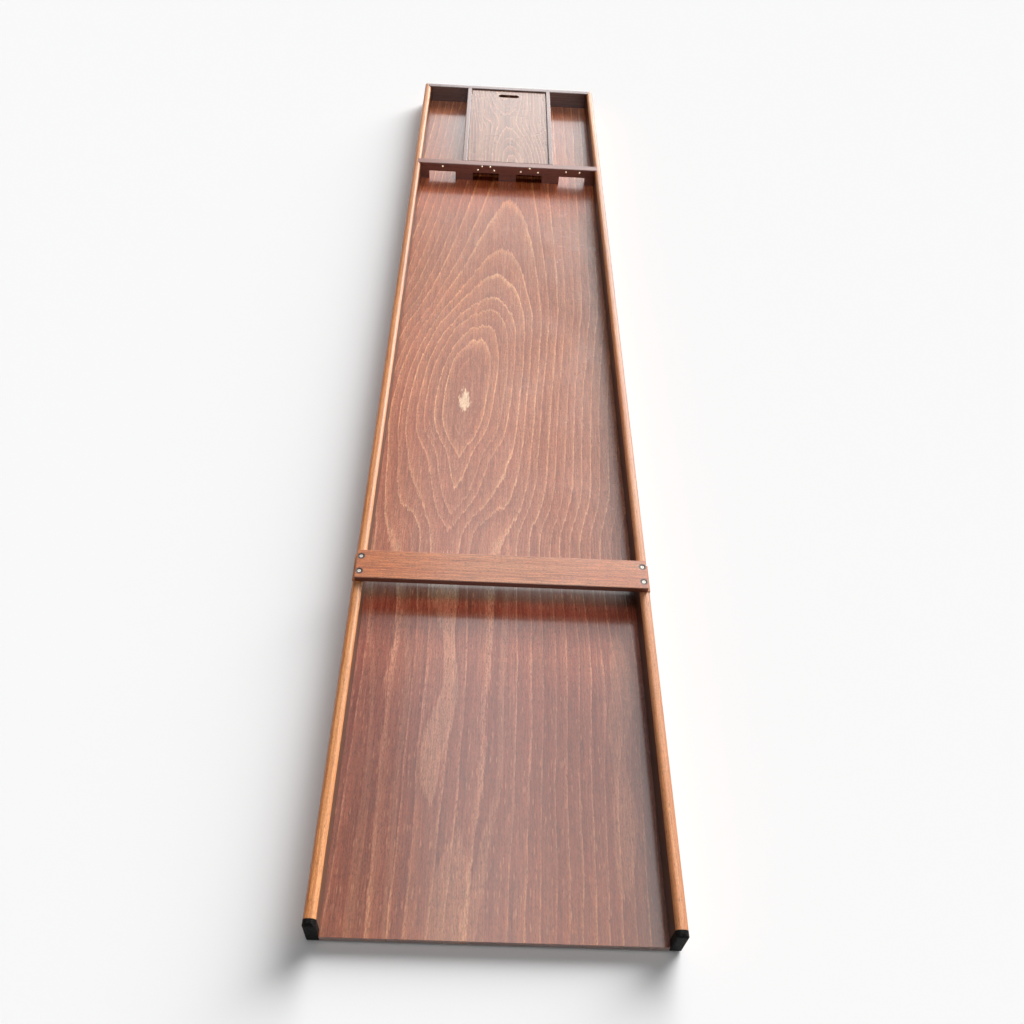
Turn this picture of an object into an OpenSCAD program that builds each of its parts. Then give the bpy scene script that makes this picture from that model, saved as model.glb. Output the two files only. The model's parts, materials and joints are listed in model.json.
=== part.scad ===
// Dutch shuffleboard: a long lane between two rails, a crossbar near the player,
// four scoring gates and four compartments at the far end, two of them under a lift-out lid.
// X runs across the board, Y from the player's end to the far end, Z up from the table.

/* [Board] */
// Overall length
board_l = 2000; // [1500:10:2400]
// Overall width over the rails
board_w = 414; // [400:2:520]

/* [Rails] */
// Thickness of a side rail
rail_t = 15; // [13:0.5:18]
// Height of a side rail
rail_h = 50; // [47:1:70]
// Width of the flat along a rail's rounded crest
crest_flat = 3; // [0.5:0.25:6]

/* [Floor] */
// Thickness of the playing floor
floor_t = 9; // [7:0.5:10]
// Height of the floor's underside above the table
floor_lift = 5; // [4:0.5:8]
// Depth of the grooves that hold the floor's edges
floor_tongue = 5; // [3:0.5:5]

/* [Far end] */
// Thickness of the back wall
wall_t = 14; // [12:0.5:18]
// Depth by which the back wall and the gate bar are let into the rails
end_housing = 6.5; // [4:0.5:7]
// Clear depth of the compartments from gate bar to back wall
box_l = 357; // [250:1:450]
// Rounding of the top edges of wall, gate bar and partitions
wall_edge_r = 1.5; // [0.5:0.25:2.5]

/* [Gates] */
// Thickness of the gate bar
gate_bar_t = 18; // [16:0.5:24]
// Width of a gate
gate_w = 58; // [54:1:66]
// Height of a gate
gate_h = 17.5; // [15:0.5:19]
// Spacing of the gates, centre to centre
gate_pitch = 96; // [90:1:97]

/* [Score pins] */
// Diameter of a pin's domed head
pin_head_d = 5; // [3.5:0.25:6]
// Height of the dome
pin_dome_h = 1.7; // [1:0.1:2.4]
// Diameter of the pin's shank
pin_shank_d = 1.8; // [1.4:0.1:2.4]
// Length of the shank
pin_shank_l = 10; // [6:0.5:14]
// Height of a lower pin above its gate
pin_low = 6.5; // [4:0.5:7]
// Depth of a middle pin below the bar's top
pin_mid = 7.5; // [6:0.5:9]
// Depth of an upper pin below the bar's top
pin_high = 3.5; // [3:0.25:5]
// Half the spacing of the two pins of a pair
pair_half = 15; // [8:0.5:22]
// Half the spacing of the outer pins of three
three_half = 19; // [8:0.5:22]
// Half the spacing of the lower pins of four
four_low_half = 18; // [12:0.5:22]
// Half the spacing of the upper pins of four
four_high_half = 9; // [4:0.5:11]

/* [Crossbar] */
// Width of the crossbar along the lane
cross_bar_w = 49; // [36:1:70]
// Thickness of the crossbar
cross_bar_t = 9; // [7:0.5:16]
// Distance from the near end to the crossbar
cross_bar_y = 456; // [250:1:600]
// Distance from the rails' outer faces to the crossbar's ends
cross_bar_short = 4; // [0:0.5:5]
// Rounding of the crossbar's top edges
cross_bar_edge_r = 1.5; // [0.5:0.25:3]
// Distance from the crossbar's long edges to its square seats on the rails
seat_inset = 2; // [1:0.5:6]
// Distance of the crossbar's screws from its long edges
cross_bar_screw_inset = 11.5; // [8:0.5:16]
// Distance of the crossbar's screws from its ends
cross_bar_screw_end = 5.5; // [5:0.25:6]
// Depth of the crossbar's screw heads below its top
screw_sink = 0.4; // [0.2:0.1:0.6]
// Width of the open ring round a crossbar screw's head
ring_w = 0.75; // [0.4:0.05:1]
// Depth of that ring
ring_depth = 1; // [0.8:0.1:1.2]

/* [Partitions] */
// Thickness of a partition
partition_t = 10; // [8:0.5:14]
// Diameter of the finger notch in the middle partition
notch_d = 30; // [24:1:34]

/* [Lid] */
// Thickness of the lid
lid_t = 5; // [3:0.5:8]
// Depth of the lid's top below the rails' tops
lid_drop = 3; // [2:0.5:6]
// Gap between the lid and each side partition
lid_side_gap = 1.5; // [0.5:0.25:3]
// Gap between the lid and the gate bar
lid_front_gap = 6; // [1:0.5:8]
// Gap between the lid and the back wall
lid_back_gap = 1.5; // [0.5:0.25:4]
// Length of the finger slot across the lid
slot_l = 50; // [36:1:70]
// Width of the finger slot
slot_w = 15; // [12:0.5:20]
// Distance from the slot's middle to the lid's back edge
slot_inset = 27; // [18:1:60]
// Width of a ledge that carries the lid
ledge_w = 8; // [6:0.5:12]
// Height of a ledge
ledge_h = 8; // [6:0.5:10]

/* [End caps] */
// Length of the cap on the end of a rail
cap_l = 8; // [6:0.5:16]
// Rounding of the cap's upper and lower front edges
cap_r = 4; // [1:0.5:5]
// Rounding of the cap's upright front edges
cap_side_r = 2.5; // [1:0.5:5]
// Rounding of the cap's lower outer edge
cap_foot_r = 4; // [1:0.5:5]
// Diameter of the moulded pegs that hold the cap
peg_d = 6; // [4:0.5:7]
// Length of the pegs
peg_l = 14; // [8:1:20]

/* [Battens] */
// Width of a batten under the floor
batten_w = 40; // [30:1:60]
// Distance from the near end to the middle of the front batten
front_batten_y = 70; // [60:5:300]
// Distance from the near end to the middle of the middle batten
middle_batten_y = 840; // [700:5:1000]
// Distance of the outer batten screws from the rails
batten_screw_inset = 36; // [20:1:80]

/* [Fasteners] */
// Diameter of a wood screw
screw_d = 3.5; // [3:0.25:4.5]
// Diameter of a countersunk screw head
screw_head_d = 6.5; // [6:0.25:8]
// Width of the cross recess in a screw head
recess_w = 0.9; // [0.6:0.1:1.2]
// Length of the cross recess in a screw head
recess_l = 4; // [3:0.25:4.5]
// Depth of the cross recess in a screw head
recess_depth = 1.2; // [0.6:0.1:1.6]
// Depth by which the crossbar's screws bite into the rails
cross_bar_bite = 21; // [12:1:25]
// Depth by which the rails' screws bite into the gate bar and the back wall
rail_bite = 19; // [12:1:20]
// Depth by which the floor's screws bite into the gate bar and the partitions
floor_bite = 16; // [10:1:18]
// Depth by which the battens' screws bite into the floor
batten_bite = 5.5; // [4:0.5:6]
// Diameter of a nail
nail_d = 1.8; // [1.4:0.1:2.4]
// Diameter of a nail's head
nail_head_d = 4; // [3:0.25:5]
// Thickness of a nail's head
nail_head_t = 1; // [0.6:0.1:1.5]
// Depth by which the back wall's nails bite into the partitions
wall_bite = 18; // [10:1:30]
// Depth by which the ledges' nails bite into the partitions
ledge_bite = 6; // [4:0.5:7]
// Height of the lower row of fasteners above the floor
row_low = 8; // [6:0.5:9]
// Height of the upper row of fasteners above the floor
row_high = 21; // [18:0.5:24]
// Distance of ledge nails and floor screws from the ends of what they hold
end_inset = 60; // [50:1:100]

/* [Fits] */
// Clearance in grooves and housings
fit_gap = 0.1; // [0.05:0.05:0.3]
// Clearance round screws, nails and pins
bore_gap = 0.1; // [0.05:0.05:0.2]

/* [Hidden] */

// How far a cutting shape reaches past the face that it cuts
over = 1;
$fn = 48;

x_in = board_w / 2 - rail_t;
x_housed = x_in + end_housing;
rail_mid_x = board_w / 2 - rail_t / 2;
crest_r = (rail_t - crest_flat) / 2;
y_near = -board_l / 2;
y_far = board_l / 2;
y_wall = y_far - wall_t;
y_bar_back = y_wall - box_l;
y_bar_front = y_bar_back - gate_bar_t;
y_bar_mid = y_bar_back - gate_bar_t / 2;
y_cross_bar = y_near + cross_bar_y;
cross_bar_half = board_w / 2 - cross_bar_short;
cross_bar_screw_x = cross_bar_half - cross_bar_screw_end;
floor_top = floor_lift + floor_t;
lid_top = rail_h - lid_drop;
lid_under = lid_top - lid_t;
x_side_box = gate_pitch - partition_t / 2;
lid_half_w = x_side_box - lid_side_gap;
lid_front_y = y_bar_back + lid_front_gap;
lid_back_y = y_wall - lid_back_gap;
slot_y = lid_back_y - slot_inset;
row_z = [floor_top + row_low, floor_top + row_high];
box_end_y = [y_bar_back + end_inset, y_wall - end_inset];
partition_x = [for (i = [-1:1]) i * gate_pitch];
gate_x = [for (i = [0:3]) (i - 1.5) * gate_pitch];
gate_top = floor_top + gate_h;
batten_y = [y_near + front_batten_y, y_near + middle_batten_y, (y_bar_back + y_wall) / 2];

cross_bar_screw_l = cross_bar_t - screw_sink + cross_bar_bite;
rail_screw_l = rail_t - end_housing + rail_bite;
floor_screw_l = floor_t + floor_bite;
batten_screw_l = floor_lift + batten_bite;
wall_nail_l = wall_t + wall_bite;
ledge_nail_l = ledge_w + ledge_bite;

pin_low_z = gate_top + pin_low;
pin_mid_z = rail_h - pin_mid;
pin_high_z = rail_h - pin_high;
one_places = [[0, pin_mid_z]];
four_places = [[-four_low_half, pin_low_z], [four_low_half, pin_low_z],
    [-four_high_half, pin_high_z], [four_high_half, pin_high_z]];
three_places = [[-three_half, pin_low_z], [0, pin_high_z], [three_half, pin_low_z]];
two_places = [[-pair_half, pin_mid_z], [pair_half, pin_mid_z]];

rail_wood = "#a9672f";
floor_wood = "#7d3a20";
bar_wood = "#8d5029";
gate_wood = "#6b3219";
partition_wood = "#9c5f38";
lid_wood = "#cda78d";
batten_wood = "#b98c5c";
cap_black = "#1b1a19";
brass = "#c9a244";
steel = "#b4b4b0";

// A box between two corners
module box(low, high) {
    translate(low) cube(high - low);
}

// A flat shape drawn in X and Z, drawn out along Y
module along_y(y0, y1) {
    translate([0, y1, 0]) rotate([90, 0, 0]) linear_extrude(y1 - y0) children();
}

// A flat shape drawn in Y and Z, drawn out along X
module along_x(x0, x1) {
    translate([x0, 0, 0]) rotate([90, 0, 90]) linear_extrude(x1 - x0) children();
}

// Upright section of a board with two rounded top edges
module rounded_top(w, h, r) {
    square([w, h - r]);
    translate([r, 0]) square([w - 2 * r, h]);
    for (x = [r, w - r])
        translate([x, h - r]) circle(r);
}

// Flat shape with its two corners at X 0 rounded
module rounded_front(l, h, r) {
    translate([r, 0]) square([l - r, h]);
    translate([0, r]) square([l, h - 2 * r]);
    for (y = [r, h - r])
        translate([r, y]) circle(r);
}

module both_sides() {
    for (side = [0, 1])
        mirror([side, 0, 0]) children();
}

// Countersunk wood screw, its head's face at Z 0, pointing down
module screw(l) {
    head_h = (screw_head_d - screw_d) / 2;
    difference() {
        union() {
            translate([0, 0, -head_h]) cylinder(head_h, screw_d / 2, screw_head_d / 2);
            translate([0, 0, -l]) cylinder(l - head_h, d = screw_d);
        }
        for (turn = [0, 90])
            rotate(turn) translate([-recess_l / 2, -recess_w / 2, -recess_depth])
                cube([recess_l, recess_w, recess_depth + over]);
    }
}

module screw_hole(l) {
    head_h = (screw_head_d - screw_d) / 2;
    bore_r = screw_d / 2 + bore_gap;
    mouth_r = screw_head_d / 2 + bore_gap;
    translate([0, 0, -head_h]) cylinder(head_h, bore_r, mouth_r);
    cylinder(over, r = mouth_r);
    translate([0, 0, -l - bore_gap]) cylinder(l, r = bore_r);
}

// Flat-headed nail, its head's face at Z 0, pointing down
module nail(l) {
    translate([0, 0, -nail_head_t]) cylinder(nail_head_t, d = nail_head_d);
    translate([0, 0, -l]) cylinder(l, d = nail_d);
}

module nail_hole(l) {
    translate([0, 0, -nail_head_t - bore_gap])
        cylinder(nail_head_t + bore_gap + over, d = nail_head_d + 2 * bore_gap);
    translate([0, 0, -l - bore_gap]) cylinder(l, d = nail_d + 2 * bore_gap);
}

// Places of the fasteners: each turns what it places so that it points into the wood

module at_cross_bar_screws() {
    for (side = [-1, 1], y = [cross_bar_screw_inset, cross_bar_w - cross_bar_screw_inset])
        translate([side * cross_bar_screw_x, y_cross_bar + y, rail_h + cross_bar_t - screw_sink]) children();
}

module at_rail_screws(y) {
    both_sides()
        for (z = row_z)
            translate([board_w / 2, y, z]) rotate([0, 90, 0]) children();
}

module at_gate_bar_screws() {
    at_rail_screws(y_bar_mid) children();
}

module at_back_wall_screws() {
    at_rail_screws(y_far - wall_t / 2) children();
}

module at_floor_screws() {
    for (x = partition_x, y = concat([y_bar_mid], box_end_y))
        translate([x, y, floor_lift]) rotate([180, 0, 0]) children();
}

module at_batten_screws() {
    reach = x_in - batten_screw_inset;
    for (y = batten_y, x = [-reach, -reach / 3, reach / 3, reach])
        translate([x, y, 0]) rotate([180, 0, 0]) children();
}

// The low center partition is nailed in the lower row only, below its finger notch
module at_partition_nails() {
    for (x = partition_x, z = x == 0 ? [row_z[0]] : row_z)
        translate([x, y_far, z]) rotate([-90, 0, 0]) children();
}

module at_ledge_nails() {
    both_sides()
        for (y = box_end_y)
            translate([x_side_box - ledge_w, y, lid_under - ledge_h / 2])
                rotate([0, -90, 0]) children();
}

module at_end_cap_pegs() {
    for (z = row_z)
        translate([rail_mid_x, y_near + cap_l, z]) rotate([90, 0, 0]) children();
}

module at_pins(gate, places) {
    for (p = places)
        translate([gate_x[gate] + p[0], y_bar_front, p[1]]) rotate([90, 0, 0]) children();
}

// Moulded peg of an end cap, pointing down from Z 0
module peg() {
    translate([0, 0, -peg_l]) cylinder(peg_l + over, d = peg_d);
}

module peg_hole() {
    translate([0, 0, -peg_l - bore_gap])
        cylinder(peg_l + bore_gap + over, d = peg_d + 2 * bore_gap);
}

// Domed nail, the dome standing on Z 0 and the shank pointing down
module pin() {
    head_r = pin_head_d / 2;
    ball_r = (head_r * head_r + pin_dome_h * pin_dome_h) / (2 * pin_dome_h);
    intersection() {
        translate([0, 0, pin_dome_h - ball_r]) sphere(ball_r);
        cylinder(pin_dome_h + over, r = head_r + over);
    }
    translate([0, 0, -pin_shank_l]) cylinder(pin_shank_l, d = pin_shank_d);
}

module pin_hole() {
    translate([0, 0, -pin_shank_l - bore_gap])
        cylinder(pin_shank_l + bore_gap + over, d = pin_shank_d + 2 * bore_gap);
}

// Board with its edges in the grooves of the rails and the back wall, cut back beside the end caps
module floor_panel() {
    color(floor_wood)
    difference() {
        box([-x_in - floor_tongue, y_near, floor_lift],
            [x_in + floor_tongue, y_wall + floor_tongue, floor_top]);
        both_sides()
            box([x_in, y_near - over, 0], [board_w, y_near + cap_l + fit_gap, floor_top + over]);
        at_floor_screws() screw_hole(floor_screw_l);
        at_batten_screws() screw_hole(batten_screw_l);
    }
}

// Right-hand rail with its crossbar seat, floor groove, gate bar housing and back wall rebate
module rail() {
    difference() {
        union() {
            along_y(y_near + cap_l, y_far) translate([x_in, 0]) rounded_top(rail_t, rail_h, crest_r);
            box([x_in, y_cross_bar + seat_inset, rail_h - crest_r],
                [x_in + rail_t, y_cross_bar + cross_bar_w - seat_inset, rail_h]);
        }
        box([x_in - over, y_near, floor_lift - fit_gap],
            [x_in + floor_tongue + fit_gap, y_far + over, floor_top + fit_gap]);
        box([x_in - over, y_bar_front - fit_gap, floor_top],
            [x_housed + fit_gap, y_bar_back + fit_gap, rail_h + over]);
        box([x_in - over, y_wall - fit_gap, -over], [x_housed + fit_gap, y_far + over, rail_h + over]);
        at_cross_bar_screws() screw_hole(cross_bar_screw_l);
        at_gate_bar_screws() screw_hole(rail_screw_l);
        at_back_wall_screws() screw_hole(rail_screw_l);
        at_end_cap_pegs() peg_hole();
    }
}

module right_rail() {
    color(rail_wood) rail();
}

module left_rail() {
    color(rail_wood) mirror([1, 0, 0]) rail();
}

module back_wall() {
    color(partition_wood)
    difference() {
        along_x(-x_housed, x_housed) translate([y_wall, 0]) rounded_top(wall_t, rail_h, wall_edge_r);
        box([-board_w, y_wall - over, floor_lift - fit_gap],
            [board_w, y_wall + floor_tongue + fit_gap, floor_top + fit_gap]);
        at_back_wall_screws() screw_hole(rail_screw_l);
        at_partition_nails() nail_hole(wall_nail_l);
    }
}

// Upright bar with four gates at its foot
module gate_bar() {
    color(gate_wood)
    difference() {
        along_x(-x_housed, x_housed) translate([y_bar_front, floor_top])
            rounded_top(gate_bar_t, rail_h - floor_top, wall_edge_r);
        for (x = gate_x)
            box([x - gate_w / 2, y_bar_front - over, floor_top - over],
                [x + gate_w / 2, y_bar_back + over, gate_top]);
        at_gate_bar_screws() screw_hole(rail_screw_l);
        at_floor_screws() screw_hole(floor_screw_l);
        at_pins(0, one_places) pin_hole();
        at_pins(1, four_places) pin_hole();
        at_pins(2, three_places) pin_hole();
        at_pins(3, two_places) pin_hole();
    }
}

// Flat bar across both rails, which the player's hand stays behind
module cross_bar() {
    color(bar_wood)
    difference() {
        along_x(-cross_bar_half, cross_bar_half) translate([y_cross_bar, rail_h])
            rounded_top(cross_bar_w, cross_bar_t, cross_bar_edge_r);
        at_cross_bar_screws() {
            screw_hole(cross_bar_screw_l);
            translate([0, 0, screw_sink - ring_depth])
                cylinder(ring_depth + over, d = screw_head_d + 2 * ring_w);
        }
    }
}

// Partition between the outer compartment and the covered box, for the right-hand side
module side_partition() {
    difference() {
        along_y(y_bar_back, y_wall) translate([x_side_box, floor_top])
            rounded_top(partition_t, rail_h - floor_top, wall_edge_r);
        at_floor_screws() screw_hole(floor_screw_l);
        at_partition_nails() nail_hole(wall_nail_l);
        at_ledge_nails() nail_hole(ledge_nail_l);
    }
}

module right_partition() {
    color(partition_wood) side_partition();
}

module left_partition() {
    color(partition_wood) mirror([1, 0, 0]) side_partition();
}

// Low partition under the lid, with a finger notch below the lid's slot
module center_partition() {
    color(partition_wood)
    difference() {
        box([-partition_t / 2, y_bar_back, floor_top], [partition_t / 2, y_wall, lid_under]);
        translate([-partition_t, slot_y, lid_under])
            rotate([0, 90, 0]) cylinder(2 * partition_t, d = notch_d);
        at_floor_screws() screw_hole(floor_screw_l);
        at_partition_nails() nail_hole(wall_nail_l);
    }
}

// Strip on the inner face of a side partition, which the lid rests on, for the right-hand side
module lid_ledge() {
    difference() {
        box([x_side_box - ledge_w, y_bar_back, lid_under - ledge_h], [x_side_box, y_wall, lid_under]);
        at_ledge_nails() nail_hole(ledge_nail_l);
    }
}

module right_lid_ledge() {
    color(partition_wood) lid_ledge();
}

module left_lid_ledge() {
    color(partition_wood) mirror([1, 0, 0]) lid_ledge();
}

// Loose lid over the two middle compartments
module lid_panel() {
    slot_r = slot_w / 2;
    slot_reach = slot_l / 2 - slot_r;
    color(lid_wood)
    difference() {
        box([-lid_half_w, lid_front_y, lid_under], [lid_half_w, lid_back_y, lid_top]);
        box([-slot_reach, slot_y - slot_r, lid_under - over],
            [slot_reach, slot_y + slot_r, lid_top + over]);
        for (x = [-slot_reach, slot_reach])
            translate([x, slot_y, lid_under - over]) cylinder(lid_t + 2 * over, r = slot_r);
    }
}

// Moulded block on the near end of the right-hand rail, in the rail's own section with rounded edges
module end_cap() {
    intersection() {
        along_y(y_near, y_near + cap_l) translate([x_in, 0]) rounded_top(rail_t, rail_h, crest_r);
        along_y(y_near, y_near + cap_l) translate([x_in, 0]) {
            square([rail_t - cap_foot_r, rail_h]);
            translate([0, cap_foot_r]) square([rail_t, rail_h - cap_foot_r]);
            translate([rail_t - cap_foot_r, cap_foot_r]) circle(cap_foot_r);
        }
        along_x(x_in, x_in + rail_t) translate([y_near, 0]) rounded_front(cap_l, rail_h, cap_r);
        translate([x_in + rail_t, y_near, 0]) rotate(90) linear_extrude(rail_h)
            rounded_front(cap_l, rail_t, cap_side_r);
    }
    at_end_cap_pegs() peg();
}

module right_end_cap() {
    color(cap_black) end_cap();
}

module left_end_cap() {
    color(cap_black) mirror([1, 0, 0]) end_cap();
}

// Flat batten under the floor, level with the undersides of the rails
module batten(y) {
    difference() {
        box([-x_in + fit_gap, y - batten_w / 2, 0], [x_in - fit_gap, y + batten_w / 2, floor_lift]);
        at_batten_screws() screw_hole(batten_screw_l);
    }
}

module front_batten() {
    color(batten_wood) batten(batten_y[0]);
}

module middle_batten() {
    color(batten_wood) batten(batten_y[1]);
}

module rear_batten() {
    color(batten_wood) batten(batten_y[2]);
}

module score_pins_one() {
    color(brass) at_pins(0, one_places) pin();
}

module score_pins_four() {
    color(brass) at_pins(1, four_places) pin();
}

module score_pins_three() {
    color(brass) at_pins(2, three_places) pin();
}

module score_pins_two() {
    color(brass) at_pins(3, two_places) pin();
}

module cross_bar_screws() {
    color(steel) at_cross_bar_screws() screw(cross_bar_screw_l);
}

module gate_bar_screws() {
    color(steel) at_gate_bar_screws() screw(rail_screw_l);
}

module back_wall_screws() {
    color(steel) at_back_wall_screws() screw(rail_screw_l);
}

module floor_screws() {
    color(steel) at_floor_screws() screw(floor_screw_l);
}

module batten_screws() {
    color(steel) at_batten_screws() screw(batten_screw_l);
}

module partition_nails() {
    color(steel) at_partition_nails() nail(wall_nail_l);
}

module ledge_nails() {
    color(steel) at_ledge_nails() nail(ledge_nail_l);
}

floor_panel();
left_rail();
right_rail();
back_wall();
gate_bar();
cross_bar();
left_partition();
right_partition();
center_partition();
left_lid_ledge();
right_lid_ledge();
lid_panel();
left_end_cap();
right_end_cap();
front_batten();
middle_batten();
rear_batten();
score_pins_one();
score_pins_four();
score_pins_three();
score_pins_two();
cross_bar_screws();
gate_bar_screws();
back_wall_screws();
floor_screws();
batten_screws();
partition_nails();
ledge_nails();
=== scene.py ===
import bpy, json
from mathutils import Euler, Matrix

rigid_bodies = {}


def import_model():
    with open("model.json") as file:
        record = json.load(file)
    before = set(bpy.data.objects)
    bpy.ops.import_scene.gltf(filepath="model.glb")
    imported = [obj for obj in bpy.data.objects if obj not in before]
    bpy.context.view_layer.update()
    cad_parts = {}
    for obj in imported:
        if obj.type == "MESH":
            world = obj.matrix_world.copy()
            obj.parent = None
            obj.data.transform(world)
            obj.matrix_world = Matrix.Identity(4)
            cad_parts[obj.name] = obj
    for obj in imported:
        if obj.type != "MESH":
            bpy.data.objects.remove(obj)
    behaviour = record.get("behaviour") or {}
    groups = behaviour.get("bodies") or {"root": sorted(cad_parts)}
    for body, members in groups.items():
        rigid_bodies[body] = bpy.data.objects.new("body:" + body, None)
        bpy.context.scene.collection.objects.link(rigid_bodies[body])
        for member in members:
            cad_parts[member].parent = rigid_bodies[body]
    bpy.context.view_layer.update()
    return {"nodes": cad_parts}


for old in list(bpy.data.objects):  # the start-up cube, lamp and camera
    bpy.data.objects.remove(old)
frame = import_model()
nodes = frame["nodes"]
print("frame loaded:", len(nodes), "pieces")


# small helpers for building node trees

def tone(r, g, b):  # screen colour 0-255 to a linear colour
    lin = lambda v: v / 12.92 if v <= 0.04045 else ((v + 0.055) / 1.055) ** 2.4
    return (lin(r / 255), lin(g / 255), lin(b / 255), 1.0)


def put(tree, kind, **settings):
    made = tree.nodes.new("ShaderNode" + kind)
    for key, value in settings.items():
        setattr(made, key, value)
    return made


def feed(tree, socket, value):
    if isinstance(value, bpy.types.NodeSocket):
        tree.links.new(value, socket)
    else:
        socket.default_value = value


def calc(tree, operation, *values):
    made = put(tree, "Math", operation=operation)
    for socket, value in zip(made.inputs, values):
        feed(tree, socket, value)
    return made.outputs[0]


def vec(tree, operation, *values):
    made = put(tree, "VectorMath", operation=operation)
    slots = [s for s in made.inputs if s.enabled] if operation != "SCALE" else [made.inputs[0], made.inputs[3]]
    for socket, value in zip(slots, values):
        feed(tree, socket, value)
    return made.outputs["Value"] if operation in ("DOT_PRODUCT", "LENGTH") else made.outputs[0]


def weigh(tree, value, share):
    return calc(tree, "MULTIPLY", value, share)


def grain(tree, place, scale, *settings):  # noise stretched by a scale for each axis
    return noise(tree, vec(tree, "MULTIPLY", place, scale), *settings)


def parts(tree, place):
    made = put(tree, "SeparateXYZ")
    feed(tree, made.inputs[0], place)
    return made.outputs


def flatGap(tree, place, x, y):  # distance to a point, seen from above
    away = vec(tree, "MULTIPLY", vec(tree, "SUBTRACT", place, (x, y, 0.0)), (1.0, 1.0, 0.0))
    return vec(tree, "LENGTH", away)


def ramp(tree, value, low, high, toLow=0.0, toHigh=1.0, smooth=True):
    made = put(tree, "MapRange", interpolation_type="SMOOTHSTEP" if smooth else "LINEAR", clamp=True)
    for socket, item in zip(made.inputs, (value, low, high, toLow, toHigh)):
        feed(tree, socket, item)
    return made.outputs[0]


def mix(tree, factor, first, second, blend="MIX"):
    made = put(tree, "Mix", data_type="RGBA", blend_type=blend, clamp_factor=True)
    feed(tree, made.inputs[0], factor)
    feed(tree, made.inputs[6], first)
    feed(tree, made.inputs[7], second)
    return made.outputs[2]


def blend(tree, factor, first, second):
    made = put(tree, "Mix", data_type="FLOAT", clamp_factor=True)
    feed(tree, made.inputs[0], factor)
    feed(tree, made.inputs[2], first)
    feed(tree, made.inputs[3], second)
    return made.outputs[0]


def grey(tree, value):
    made = put(tree, "CombineColor")
    for socket in made.inputs:
        feed(tree, socket, value)
    return made.outputs[0]


def noise(tree, place, detail=2.0, rough=0.55, warp=0.0):
    made = put(tree, "TexNoise", noise_dimensions="3D")
    feed(tree, made.inputs["Vector"], place)
    for name, value in (("Scale", 1.0), ("Detail", detail), ("Roughness", rough), ("Distortion", warp)):
        made.inputs[name].default_value = value
    return made.outputs[0]


def cells(tree, place):
    made = put(tree, "TexVoronoi", voronoi_dimensions="3D", feature="F1")
    feed(tree, made.inputs["Vector"], place)
    made.inputs["Scale"].default_value = 1.0
    made.inputs["Randomness"].default_value = 1.0
    return made.outputs["Distance"], made.outputs["Color"]


def curve(tree, value, points, straight=False):  # x of the points runs from 0 to 1
    made = put(tree, "FloatCurve")
    line = made.mapping.curves[0]
    for i, (x, y) in enumerate(points):
        if i < 2:
            line.points[i].location = (x, y)
        else:
            line.points.new(x, y)
    if straight:
        for point in line.points:
            point.handle_type = "VECTOR"
    made.mapping.use_clip = False
    made.mapping.update()
    feed(tree, made.inputs["Value"], value)
    return made.outputs[0]


def newGroup(name, inputs, outputs):
    tree = bpy.data.node_groups.new(name, "ShaderNodeTree")
    for label, start in inputs.items():
        kind = "NodeSocketVector" if start is None else "NodeSocketFloat"
        socket = tree.interface.new_socket(label, in_out="INPUT", socket_type=kind)
        if start is not None:
            socket.default_value = start
    for label, kind in outputs.items():
        tree.interface.new_socket(label, in_out="OUTPUT", socket_type="NodeSocket" + kind)
    return tree, tree.nodes.new("NodeGroupInput").outputs, tree.nodes.new("NodeGroupOutput").inputs


def use(tree, group, **values):
    made = put(tree, "Group", node_tree=group)
    for label, value in values.items():
        feed(tree, made.inputs[label], value)
    return made.outputs


# fine structure of wood: Place is in millimetres with Y along the grain

woodFibre = {  # noise has a scale for each axis, detail and roughness
    "streak": ((0.16, 0.0035, 0.16), 3.0, 0.6), "fibre": ((0.9, 0.035, 0.9), 3.0, 0.65),
    "mottle": ((1.1, 0.34, 1.1), 2.0, 0.6),
    "poreScale": (0.8, 0.10, 0.8), "poreGap": (0.30, 0.12), "porePick": (0.35, 0.55),
    "fleckScale": (0.34, 0.055, 0.34), "fleckShift": (7.0, 3.0, 5.0),
    "fleckGap": (0.36, 0.14), "fleckPick": (0.5, 0.7),
}


def makeFibre():
    outputs = ("Streak", "Fibre", "Mottle", "Pore", "Fleck")
    tree, take, give = newGroup("woodFibre", {"Place": None}, {label: "Float" for label in outputs})
    place = take["Place"]
    feed(tree, give["Streak"], grain(tree, place, *woodFibre["streak"]))
    feed(tree, give["Fibre"], grain(tree, place, *woodFibre["fibre"]))
    feed(tree, give["Mottle"], grain(tree, place, *woodFibre["mottle"]))
    gap, pick = cells(tree, vec(tree, "MULTIPLY", place, woodFibre["poreScale"]))
    pores = weigh(tree, ramp(tree, gap, *woodFibre["poreGap"]), ramp(tree, pick, *woodFibre["porePick"]))
    feed(tree, give["Pore"], pores)
    gap, pick = cells(tree, vec(tree, "MULTIPLY_ADD", place, woodFibre["fleckScale"], woodFibre["fleckShift"]))
    flecks = weigh(tree, ramp(tree, gap, *woodFibre["fleckGap"]), ramp(tree, pick, *woodFibre["fleckPick"]))
    feed(tree, give["Fleck"], flecks)
    return tree


# yearly rings from a field in millimetres: tone climbs to each ring and drops sharply behind it

yearRings = {
    "wave": ((0.05, 0.006, 0.05), 3.0, 0.6), "waveShare": 1.5, "tooth": ((0.42, 0.020, 0.42), 3.0, 0.7),
    "weakest": 0.5, "climb": 1.5, "lineRise": (0.80, 0.96), "lineFall": (1.0, 0.97),
    "speck": ((0.7, 0.16, 0.7), 2.0, 0.6), "speckRange": (0.36, 0.62, 0.25, 1.0),
    "broad": ((0.02, 0.006, 0.02), 2.0, 0.5), "broadRange": (0.4, 0.6, 0.4, 1.0),
}


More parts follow.
